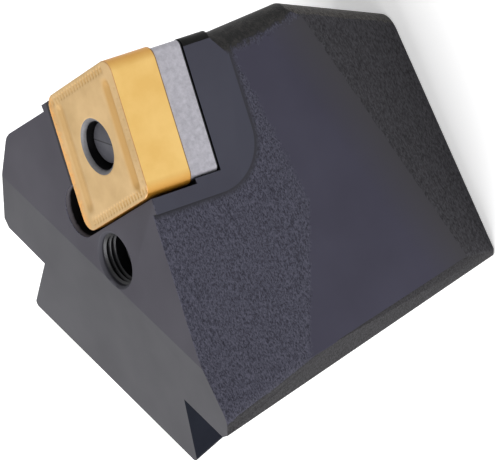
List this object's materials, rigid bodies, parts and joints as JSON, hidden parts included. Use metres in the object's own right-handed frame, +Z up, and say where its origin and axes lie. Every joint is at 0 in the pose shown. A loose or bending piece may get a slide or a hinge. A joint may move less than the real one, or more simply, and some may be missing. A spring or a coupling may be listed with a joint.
{
  "type": "turning head",
  "caption": "Exchangeable turning head: wedge-shaped steel block with a tapered dovetail tongue, lever-clamped rhombic indexable insert and shim.",
  "frame": {"origin": "seating plane of the shoulders (x = 0), middle of the dovetail tongue (y = 0), bottom face of the head (z = 0)", "axes": "+X from the shoulders towards the cutting corner, +Z up to the side that carries the insert, -X out of the back of the tongue"},
  "size_m": [0.0686, 0.0724, 0.068],
  "materials": {
    "blackened_steel": "satin, blackened, grained on the cast faces",
    "gold_coating": "satin titanium nitride coating on carbide",
    "shim_carbide": "ground, slightly speckled",
    "pin_steel": "satin, blackened",
    "lever_steel": "satin, blackened",
    "screw_steel": "satin, blackened"
  },
  "bodies": {
    "head": {"head_body": "blackened_steel", "cutting_insert": "gold_coating", "shim": "shim_carbide", "shim_pin": "pin_steel"},
    "screw": {"lever_screw": "screw_steel"},
    "lever": {"clamping_lever": "lever_steel"}
  },
  "joints": [
    {"name": "screw_travel", "type": "slide", "parent": "head", "child": "screw", "axis": [0.1392, 0, 0.9903], "range_m": [-0.0004, 0.0002]},
    {"name": "lever_pivot", "type": "hinge", "parent": "head", "child": "lever", "pos_m": [0.03349, 0.0078, 0.03771], "axis": [-0.3654, 0.9294, 0.0514], "range_deg": [-1.4, 0.7]}
  ],
  "couplings": [
    {"joint": "lever_pivot", "follows": "screw_travel", "rad_per_m": 57.8}
  ]
}
